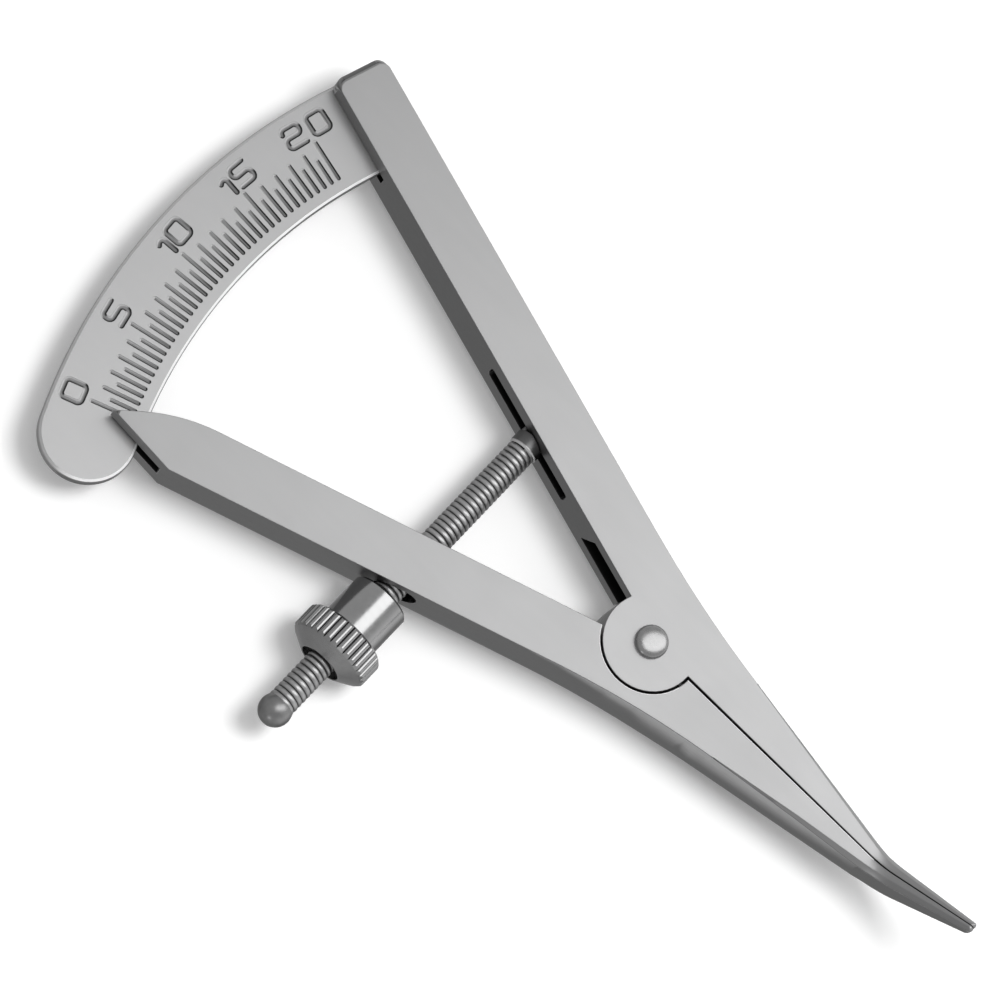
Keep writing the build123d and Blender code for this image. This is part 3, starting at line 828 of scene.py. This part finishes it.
@dataclass
class ScalePlate(Part):
    """The curved plate with its engraved graduations and figures.

    A figure is given by the opening it stands at, its digit, its shift to the
    right and its radius, the last two in millimetres.
    """

    reach: float = 33.8 * MM
    zero_angle: float = math.radians(201.0)
    last: int = 20
    tick_start: float = 44.65 * MM
    tick_width: float = 0.35 * MM
    tick_depth: float = 0.12 * MM
    figure_depth: float = 0.13 * MM
    numbered: int = 5
    crease: float = 30
    flat_from: float = 0.9999
    bevel_from: float = 0.6
    bevel_rise: float = 0.19 * MM
    mark_least: float = 0.0005 * MM
    mark_reach: float = 0.15 * MM
    # Painted highlight on the inner bevel: the lean towards +X for its full strength, and its least
    # strength.
    highlight_lean: float = 0.3
    least_highlight: float = 0.3
    figures: tuple[tuple[int, str, float, float], ...] = (
        (0, "0", 0.13, 49.90),
        (5, "5", 0.05, 49.75),
        (10, "1", -0.44, 49.75),
        (10, "0", 1.18, 49.75),
        (15, "1", -0.69, 49.60),
        (15, "5", 0.95, 49.60),
        (20, "2", -1.26, 49.60),
        (20, "0", 1.14, 49.60),
    )

    def angle(self, opening: float) -> float:
        """Angle of the graduation for an opening of the jaws in millimetres."""
        return self.zero_angle - 2 * math.asin(opening * MM / 2 / self.reach)

    def tick(self, half: int) -> Tick:
        """Kind of the graduation at a number of half millimetres."""
        whole = Tick.WHOLE if half % (2 * self.numbered) else Tick.FIFTH
        return Tick.HALF if half % 2 else whole

    def engrave(self, face: float) -> Form:
        """Sweeps every mark.

        Args:
            face: Height of the plate's front.

        Returns:
            The swept solids.
        """
        tools = Form()
        graver = Graver(tools, self.tick_width, self.tick_depth, face)
        inset = self.tick_width / 2
        for half in range(2 * self.last + 1):
            ends = (self.tick_start + inset, self.tick(half).value - inset)
            graver.cut([self.around(radius, self.angle(half / 2)) for radius in ends])
        shapes = Figures()
        graver = Graver(tools, shapes.stroke, self.figure_depth, face)
        for number, figure, shift, radius in self.figures:
            angle = self.angle(number)
            outward, right = polar(angle), polar(angle - math.pi / 2)
            middle = self.around(radius * MM, angle) + right * shift * MM
            points, closed = shapes.path(figure)
            corner = graver.radius * shapes.room if figure == "1" else shapes.corner
            path = [middle + right * point.x + outward * point.y for point in points]
            graver.cut(path, corner, closed)
        tools.outward()
        return tools

    def mark(self, mesh: bpy.types.Mesh, face: float) -> None:
        """Marks the grooves, and the bevel for a painted highlight that is stronger where it faces +X.

        Args:
            mesh: The carved mesh.
            face: Height of the plate's front.
        """
        painted_highlight = mesh.attributes.new(Form.PAINTED_HIGHLIGHT, "FLOAT", "FACE")
        groove = mesh.attributes.new(Form.GROOVE, "FLOAT", "FACE")
        for polygon in mesh.polygons:
            normal = polygon.normal
            polygon.use_smooth = abs(normal.z) < self.flat_from
            lowest = min(mesh.vertices[index].co.z for index in polygon.vertices)
            if face - self.mark_reach < lowest < face - self.mark_least:
                groove.data[polygon.index].value = 1.0
            # Painted highlight on the bevel, stronger where it faces +X.
            elif self.flat_from > normal.z > self.bevel_from:
                share = self.least_highlight + (1 - self.least_highlight) * normal.x / self.highlight_lean
                painted_highlight.data[polygon.index].value = min(1.0, max(self.least_highlight, share))

    def build(self) -> None:
        """Makes the engraved plate."""
        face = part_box("scale_plate")[1].z
        cutter = self.engrave(face).piece("engraving_tools")
        blank = Form(self.nodes["scale_plate"])
        blank.flatten()
        plate = blank.piece("engraved_plate", self.crease)
        cut = plate.modifiers.new("engraving", "BOOLEAN")
        cut.operation = "DIFFERENCE"
        cut.solver = "EXACT"
        cut.object = cutter
        graph = bpy.context.evaluated_depsgraph_get()
        plate.data = bpy.data.meshes.new_from_object(plate.evaluated_get(graph))
        plate.modifiers.clear()
        bpy.data.objects.remove(cutter)
        smooth(plate.data, self.crease)
        self.mark(plate.data, face)
        # Painted shade low on the inner bevel, a painted highlight above it.
        finish = Blasted(
            "plate_satin",
            face=0.45,
            brink=face - self.bevel_rise,
            face_roughness=0.34,
            flank_roughness=0.30,
            metallic=0.7,
            grain=0.0003 * MM,
            mottle=0.03,
        )
        dress(plate, finish.make())
        self.enter(plate, "scale_plate", "plate_steel", "scale_arm")


@dataclass
class Arms(Part):
    """The two arms with their jaws.

    The facet is given by places along X from the pivot, each with the depth to
    which the flank leans there and the slope of its lean.
    """

    edge: float = 0.06 * MM
    leans: Span = (math.radians(16.9), math.radians(-18.3))
    # Front and flank values for each arm; the darker flanks, and the scale arm's darker flank, are painted
    # shade.
    faces: Span = (0.437, 0.415)
    flanks: Span = (0.28, 0.34)
    jaw_start: float = 25.0
    front: float = 6.109 * MM
    # Painted highlight on the roundings beside the gap: their run along X from the pivot, depth below the
    # front in edge widths and least lean towards +Y.
    highlight_run: Span = (-5.0 * MM, 24.6 * MM)
    highlight_depth: float = 1.2
    highlight_side: float = 0.1
    joint_reach: float = 4.6 * MM
    flank_side: float = -0.5
    flank_run: Span = (-27.0 * MM, 25.2 * MM)
    facet: tuple[Triple, ...] = (
        (-7.0 * MM, 0.5 * MM, 0.0),
        (-3.5 * MM, 1.1 * MM, 0.045),
        (0.0 * MM, 1.6 * MM, 0.07),
        (4.0 * MM, 2.05 * MM, 0.083),
        (8.5 * MM, 2.3 * MM, 0.09),
        (18.0 * MM, 2.0 * MM, 0.09),
        (24.2 * MM, 1.7 * MM, 0.0),
    )

    def outer_flank(self, form: Form, start: float, end: float) -> list[BMFace]:
        """Finds the faces of the pointer arm's outer flank between two places.

        Args:
            form: The arm.
            start: First place along X, from the pivot.
            end: Last place along X, from the pivot.

        Returns:
            The faces.
        """
        form.bm.normal_update()
        found = []
        for face in form.bm.faces:
            middle = face.calc_center_median() - self.joint
            nearest = min((vert.co - self.joint).xy.length for vert in face.verts)
            outside = face.normal.y < self.flank_side and nearest > self.joint_reach
            if outside and start < middle.x < end:
                found.append(face)
        return found

    def lean_flank(self, form: Form) -> None:
        """Leans the upper part of the pointer arm's outer flank, from the joint to the bend.

        Args:
            form: The arm.
        """
        pivot_x = self.joint.x
        for place, _, _ in self.facet:
            faces = self.outer_flank(form, *self.flank_run)
            form.score(faces, Vector((pivot_x + place, 0, 0)), X_AXIS)
        moves: dict[BMVert, float] = {}
        for (start, high, tight), (end, low, slack) in zip(self.facet, self.facet[1:]):
            faces = self.outer_flank(form, start, end)
            place = Vector((pivot_x + start, 0, self.front - high))
            form.score(faces, place, Vector((low - high, 0, end - start)).normalized())
            for vert in verts_of(self.outer_flank(form, start, end)):
                share = (vert.co.x - pivot_x - start) / (end - start)
                rise = vert.co.z - self.front + high + (low - high) * share
                if rise > 0:
                    moves[vert] = rise * (tight + (slack - tight) * share)
        for vert, shift in moves.items():
            vert.co.y += shift

    def build(self) -> None:
        """Makes both arms with softened edges."""
        start, end = (self.joint.x + reach for reach in self.highlight_run)
        highlight_height = self.front - self.highlight_depth * self.edge

        def beside_gap(face: BMFace) -> bool:
            """Tells the roundings beside the gap between the arms, which get a painted highlight.

            Args:
                face: A face of a rounding.

            Returns:
                Whether it runs along the gap, on the front.
            """
            middle = face.calc_center_median()
            inside = start < middle.x < end and middle.z > highlight_height
            return inside and face.normal.y > self.highlight_side

        looks = zip(("scale_arm", "pointer_arm"), self.leans, self.faces, self.flanks)
        for node, lean, top, flank in looks:
            form = Form(self.nodes[node])
            form.flatten()
            if node == "pointer_arm":
                self.lean_flank(form)
            rounding = form.soften(self.edge)
            # Painted highlight along the gap between the arms.
            if node == "pointer_arm":
                form.paint_highlight(rounding, beside_gap)
            arm = form.piece(node + "_satin", weighted=True)
            # The slots' inside gets painted shade.
            slots = (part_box(node)[0].z / MM, self.front / MM, self.jaw_start)
            finish = Blasted(node + "_finish", face=top, flank=flank, turn=lean, hollow=slots)
            dress(arm, finish.make())
            self.enter(arm, node, "satin_steel", node)


@dataclass
class AdjustingScrew(Part):
    """The screw: the construction model's tongue, a boss, a thread and a ball."""

    crest: float = 1.24 * MM
    root: float = 1.12 * MM
    pitch: float = 0.5 * MM
    crest_share: float = 0.55
    rounds: int = 8
    steps: int = 40
    crease: float = 32
    thread_inset: float = 0.4 * MM
    thread_end: float = 33.0 * MM
    thread_weld: float = 0.004 * MM
    boss_radius: float = 1.33 * MM
    boss_start: float = 1.8 * MM
    boss_end: float = 3.6 * MM
    boss_chamfer: float = 0.15 * MM
    # The chamfer's slant that gets a painted highlight, and the painted shade on the boss past it: where it
    # is full and how dark.
    chamfer_span: Span = (-0.9, -0.5)
    shade_end: float = 0.25 * MM
    shade: float = 0.36
    flank_gap: float = 2.38 * MM
    flank_leans: Span = (math.radians(16.9), math.radians(-0.31))
    tongue_end: float = 2.42 * MM
    tongue_root: Span = (2.0 * MM, 1.4 * MM)
    tongue_fill: float = 0.98
    ball_steps: int = 24

    @property
    def axis(self) -> Vector:
        """A point on the rod's axis."""
        return Vector((self.joint.x, 0, self.joint.z))

    def build(self) -> None:
        """Makes the screw and its ball."""
        axis, swivel = self.axis, self.joint
        boss_y = swivel.y - self.boss_end
        form = Form(self.nodes["adjusting_screw"])
        form.cut(Vector((0, swivel.y - self.tongue_end, 0)), -Y_AXIS)
        width, height = self.tongue_root
        length = self.boss_end - self.boss_start
        spot = Matrix.Translation((axis.x, boss_y + length / 2, axis.z))
        spot = spot @ Matrix.Diagonal((width, length, height, 1))
        bmesh.ops.create_cube(form.bm, size=self.tongue_fill, matrix=spot)
        form.join(self._boss())
        form.flatten()
        form.join(self._thread(boss_y + self.thread_inset, swivel.y - self.thread_end))
        # Painted shade in the thread's roots and on the boss, and a painted highlight on its chamfer.
        finish = Turned(
            "thread_steel",
            value=0.58,
            roughness=0.38,
            axis=(axis.x, axis.z),
            inner=self.root,
            outer=self.crest,
            core_shade=0.10,
            edge=0.48,
            spots=0.14,
            grain=0.002 * MM,
            shades=((boss_y + self.boss_chamfer, boss_y + self.shade_end, self.shade),),
        )
        plain = Turned("ball_steel", value=0.35, roughness=0.36, spots=0.10)
        screw = form.piece("threaded_screw", self.crease)
        ball = self._ball().piece("end_ball", self.crease)
        for piece, look in ((screw, finish), (ball, plain)):
            dress(piece, look.make())
            self.enter(piece, "adjusting_screw", "screw_steel", "adjusting_screw")

    def _boss(self) -> Form:
        """Turns the boss, marks its chamfer for a painted highlight and slants its back as the arm's flank
        passes it.

        Returns:
            The boss.
        """
        boss = Form()
        radius, edge = self.boss_radius, self.boss_chamfer
        profile = (
            (0.0, self.boss_start),
            (radius, self.boss_start),
            (radius, self.boss_end - edge),
            (radius - edge, self.boss_end),
            (0.0, self.boss_end),
        )
        boss.bm.faces.layers.float.new(Form.PAINTED_HIGHLIGHT)
        boss.lathe(profile, self.joint, -Y_AXIS, 2 * self.steps)
        # Painted highlight on the chamfer.
        low, high = self.chamfer_span
        boss.paint_highlight(boss.bm.faces, lambda face: low < face.normal.y < high)
        for lean in self.flank_leans:
            outward = Vector((math.sin(lean), math.cos(lean), 0))
            boss.cut(self.joint - outward * self.flank_gap, outward)
        return boss

    def _thread(self, start: float, end: float) -> Form:
        """Winds one groove per pitch round the rod.

        Args:
            start: Y of the thread's start.
            end: Y of the thread's end, lower than its start.

        Returns:
            The thread.
        """
        form = Form()
        bm = form.bm
        turns = math.floor((start - end) / self.pitch)
        verts = []
        for step in range(self.rounds + 1):
            inside = 0 < step < self.rounds
            share = step / self.rounds
            swell = math.sin(math.pi * share) ** self.crest_share if inside else 0.0
            radius = self.root + (self.crest - self.root) * swell
            place = Vector((0, start - self.pitch * share, radius))
            verts.append(bm.verts.new(self.axis + place))
        edges = [bm.edges.new(pair) for pair in zip(verts, verts[1:])]
        climb = (0, -self.pitch / self.steps, 0)
        angle, steps = 2 * math.pi * turns, self.steps * turns
        form.spin(edges, cent=self.axis, axis=Y_AXIS, angle=angle, steps=steps, dvec=climb)
        bmesh.ops.remove_doubles(bm, verts=bm.verts, dist=self.thread_weld)
        bmesh.ops.holes_fill(bm, edges=[edge for edge in bm.edges if edge.is_boundary], sides=0)
        form.outward()
        return form

    def _ball(self) -> Form:
        """Turns the ball at the rod's free end.

        Returns:
            The ball.
        """
        low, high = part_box("adjusting_screw")
        radius = (high.z - low.z) / 2
        turns = [math.pi * step / self.ball_steps for step in range(1, self.ball_steps)]
        arc = [(math.sin(turn) * radius, radius * (1 - math.cos(turn))) for turn in turns]
        ball = Form()
        profile = [(0.0, 0.0), *arc, (0.0, 2 * radius)]
        ball.lathe(profile, self.axis + Vector((0, low.y, 0)), Y_AXIS, self.steps)
        return ball


@dataclass
class ReturnSpring(Part):
    """The torsion spring in the joint, which bends as the arms close."""

    wire: float = 0.3 * MM
    coil: float = 2.65 * MM
    height: float = 1.47 * MM
    leg: float = 8.1 * MM
    scale_lean: float = math.radians(16.9)
    pointer_lean: float = math.radians(18.3)
    sides: int = 14
    turn_step: float = math.radians(9)
    bend_share: float = 0.9
    crease: float = 50

    def build(self) -> None:
        """Makes the spring."""
        form, pivot = Form(), self.joint
        bm = form.bm
        low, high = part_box("return_spring")
        middle = (low.z + high.z) / 2
        along = polar(math.pi - self.scale_lean)
        start = self.around(self.coil, math.pi / 2 - self.scale_lean)
        start.z = middle + self.height / 2
        ring = form.ring(start + along * self.leg, along, self.wire, self.sides)
        bmesh.ops.contextual_create(bm, geom=ring)
        ring = form.draw(ring, -along * self.leg)
        sweep = 3 * math.pi - self.scale_lean - self.pointer_lean
        steps = round(sweep / self.turn_step)
        climb = (0, 0, -self.height / steps)
        ring = form.spin(ring, cent=pivot, axis=-Z_AXIS, angle=sweep, steps=steps, dvec=climb)
        ring = form.draw(ring, polar(math.pi + self.pointer_lean) * self.leg)
        bmesh.ops.contextual_create(bm, geom=ring)
        form.outward()
        spring = form.piece("bent_spring", self.crease)
        bend = self.coil * self.bend_share
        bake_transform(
            spring,
            "scale_arm",
            "pointer_arm",
            start=(pivot.x, pivot.y + bend, middle),
            end=(pivot.x, pivot.y - bend, middle),
        )
        dress(spring, Turned("spring_wire", value=0.35, roughness=0.3).make())
        self.enter(spring, "return_spring", "spring_steel")


@dataclass
class Collar(Part):
    """The smooth collar that pushes the pointer arm."""

    bore: float = 1.29 * MM
    edge: float = 0.2 * MM
    end_edge: float = 0.06 * MM
    steps: int = 96
    crease: float = 20

    def build(self) -> None:
        """Turns the collar."""
        low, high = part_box("thrust_sleeve")
        radius, length = (high.z - low.z) / 2, high.y - low.y
        profile = (
            (self.bore, 0.0),
            (radius - self.edge, 0.0),
            (radius, self.edge),
            (radius, length - self.end_edge),
            (radius - self.end_edge, length),
            (self.bore, length),
        )
        form = Form()
        form.lathe(profile, Vector((self.joint.x, high.y, self.joint.z)), -Y_AXIS, self.steps)
        collar = form.piece("turned_collar", self.crease)
        dress(collar, Turned("collar_steel", value=0.48, roughness=0.18).make())
        self.enter(collar, "thrust_sleeve", "polished_steel", "thrust_sleeve")


@dataclass
class Rivet(Part):
    """The joint's rivet, with a flat-topped dome and a countersunk tail."""

    shank: float = 1.0 * MM
    tail: float = 1.6 * MM
    tail_depth: float = 0.6 * MM
    head: float = 1.39 * MM
    rim: float = 0.04 * MM
    rise: float = 0.70 * MM
    flatness: float = 0.62
    rounds: int = 14
    steps: int = 72
    crease: float = 35

    def build(self) -> None:
        """Turns the rivet."""
        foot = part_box("pivot_rivet")[0].z
        seat = Arms.front - foot
        profile = [(0.0, 0.0), (self.tail, 0.0), (self.shank, self.tail_depth)]
        profile += [(self.shank, seat), (self.head, seat)]
        for step in range(self.rounds):
            turn = math.pi / 2 * step / self.rounds
            radius = self.head * math.cos(turn) ** self.flatness
            lift = self.rise * math.sin(turn) ** self.flatness
            profile.append((radius, seat + self.rim + lift))
        profile.append((0.0, seat + self.rim + self.rise))
        form = Form()
        form.lathe(profile, Vector((*self.joint.xy, foot)), Z_AXIS, self.steps)
        rivet = form.piece("domed_rivet", self.crease)
        dress(rivet, Turned("rivet_steel", value=0.42, roughness=0.28).make())
        self.enter(rivet, "pivot_rivet", "polished_steel", "scale_arm")


@dataclass
class Fittings(Part):
    """The nodes whose own meshes show: the nut and the pins."""

    tooth_depth: float = 0.28 * MM
    tooth_top: float = 0.2
    tooth_shade: float = 0.05
    bore_share: float = 0.40
    cone_share: float = 0.55

    def build(self) -> None:
        """Dresses the nodes."""
        low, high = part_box("knurled_nut")
        crest = (high.z - low.z) / 2
        root, top = crest - self.tooth_depth, crest - self.tooth_depth * self.tooth_top
        # Painted shade towards the bore and in the teeth's roots.
        knurl = Turned(
            "knurl_steel",
            value=0.48,
            roughness=0.20,
            axis=(self.joint.x, self.joint.z),
            inner=crest * self.bore_share,
            outer=crest * self.cone_share,
            core_shade=0.06,
            spots=0.05,
            rings=4.0,
            grooves=(root, top, self.tooth_shade),
        )
        finishes = {
            "knurled_nut": knurl,
            "swivel_pin": Turned("pin_steel", value=0.5, roughness=0.25),
            "scale_plate_pins": Blasted("pin_satin"),
        }
        for name, finish in finishes.items():
            dress(self.nodes[name], finish.make())
            self.made.append(self.nodes[name])


@dataclass(frozen=True)
class Softbox:
    """A flat lamp that looks at the instrument, its lengths in millimetres."""

    name: str
    place: Triple
    width: float
    length: float
    radiance: float
    mirrored: bool = True

    def hang(self) -> None:
        """Puts the lamp in the scene."""
        width, length = self.width * MM, self.length * MM
        place = Vector(self.place) * MM
        data = bpy.data.lights.new(self.name, "AREA")
        data.shape = "RECTANGLE"
        data.size = width
        data.size_y = length
        data.energy = self.radiance * width * length * math.pi
        lamp = bpy.data.objects.new(self.name, data)
        lamp.matrix_world = aimed(place, place.normalized())
        lamp.visible_glossy = self.mirrored
        bpy.context.scene.collection.objects.link(lamp)


@dataclass
class Studio:
    """Floor, sky, lamps and the photograph's camera."""

    bearing: float = math.radians(-95.398)
    tilt: float = math.radians(18.8)
    roll: float = math.radians(-49.299)
    aim: Triple = (-16.5076 * MM, -0.2872 * MM, 2.5 * MM)
    distance: float = 449.407 * MM
    sensor: float = 36.0
    lens: float = 203.796
    clip: Span = (0.01, 10.0)
    floor_size: float = 3.0
    floor_drop: float = 0.02 * MM
    floor_value: float = 0.90
    floor_roughness: float = 0.9
    floor_glow: float = 0.12
    horizon: float = 0.55
    horizon_slope: float = 0.18
    zenith: float = 0.43
    zenith_span: Span = (0.02, 0.60)
    ground: float = 0.28
    ground_span: Span = (0.05, 0.80)
    back_glow: float = 0.45
    back_span: Span = (0.42, 0.80)
    side_shade: float = 0.13
    side_span: Span = (0.4, 0.8)
    seam: Span = (-0.02, 0.02)
    softboxes: tuple[Softbox, ...] = (
        Softbox("overhead_softbox", (95, 125, 330), 215, 500, 1.5),
        Softbox("front_softbox", (30, -420, 60), 60, 40, 6.0),
        Softbox("floor_softbox", (80, 90, 395), 150, 150, 12.5, mirrored=False),
    )

    def build(self, pivot: Vector) -> None:
        """Makes the whole studio.

        Args:
            pivot: The arms' pivot.
        """
        self._camera(pivot + Vector(self.aim))
        self._floor()
        self._sky()
        for softbox in self.softboxes:
            softbox.hang()
        LOG.info("studio: camera, floor, sky and lamps")

    def _camera(self, aim: Vector) -> None:
        """Sets the camera at the photograph's angle.

        Args:
            aim: The point that it looks at.
        """
        lean = polar(self.bearing)
        back = lean * math.sin(self.tilt) + Z_AXIS * math.cos(self.tilt)
        up = Z_AXIS * math.sin(self.tilt) - lean * math.cos(self.tilt)
        right = up.cross(back)
        turned_up = up * math.cos(self.roll) + right * math.sin(self.roll)
        axes = Matrix((turned_up.cross(back), turned_up, back)).transposed()
        data = bpy.data.cameras.new("camera")
        data.sensor_width = self.sensor
        data.lens = self.lens
        data.clip_start, data.clip_end = self.clip
        camera = bpy.data.objects.new("camera", data)
        camera.matrix_world = Matrix.Translation(aim + back * self.distance) @ axes.to_4x4()
        scene = bpy.context.scene
        scene.collection.objects.link(camera)
        scene.camera = camera
        scene.view_settings.view_transform = "Standard"

    def _floor(self) -> None:
        """Lays a pale floor at the instrument's lowest point."""
        form = Form()
        bmesh.ops.create_grid(form.bm, x_segments=1, y_segments=1, size=self.floor_size / 2)
        floor = form.piece("floor")
        floor.data.transform(Matrix.Translation((0, 0, -self.floor_drop)))
        material = bpy.data.materials.new("floor_white")
        inputs = {
            "Base Color": (self.floor_value,) * 3 + (1.0,),
            "Roughness": self.floor_roughness,
            "Specular IOR Level": 0.0,
            "Emission Color": (1.0, 1.0, 1.0, 1.0),
            "Emission Strength": self.floor_glow,
        }
        NodeKit(material).surface(inputs)
        dress(floor, material)
        floor.visible_glossy = False

    def _sky(self) -> None:
        """Sets a grey sky, paler towards +X and +Y, over a dim ground."""
        world = bpy.data.worlds.new("studio_sky")
        kit = NodeKit(world)
        direction = kit.node("ShaderNodeTexCoord", {}, {}, "Generated")
        across, away, height = (kit.part(direction, letter) for letter in "XYZ")
        horizon = across * self.horizon_slope + away * self.horizon_slope + self.horizon
        above = horizon.toward(self.zenith, height.ramp(*self.zenith_span))
        ground = away.ramp(*self.back_span) * self.back_glow + self.ground
        ground = ground - across.size().ramp(*self.side_span) * self.side_shade
        depth = 0.0 - height
        below = horizon.toward(ground, depth.ramp(*self.ground_span))
        value = above.toward(below, depth.ramp(*self.seam))
        tone = kit.node("ShaderNodeCombineColor", {}, [value, value, value])
        shader = kit.node("ShaderNodeBackground", {}, {"Color": tone, "Strength": 1.0})
        kit.node("ShaderNodeOutputWorld", {}, {"Surface": shader})
        bpy.context.scene.world = world


def main() -> None:
    """Builds the looks in order."""
    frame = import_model()
    joints = [joint for joint in frame["joints"] if "pos_m" in joint]
    places = {joint["name"]: Vector(joint["pos_m"]) for joint in joints}
    nodes, pivot, swivel = frame["nodes"], places["arm_pivot"], places["screw_swivel"]
    parts = (
        Arms(nodes, pivot),
        ScalePlate(nodes, pivot),
        AdjustingScrew(nodes, swivel),
        ReturnSpring(nodes, pivot),
        Collar(nodes, swivel),
        Rivet(nodes, pivot),
        Fittings(nodes, swivel),
    )
    for part in parts:
        part.build()
        for piece in part.made:
            LOG.info("%s: %d faces", piece.name, len(piece.data.polygons))
    Studio().build(pivot)


if __name__ == "__main__":
    logging.basicConfig(level=logging.INFO, format="%(name)s: %(message)s")
    main()
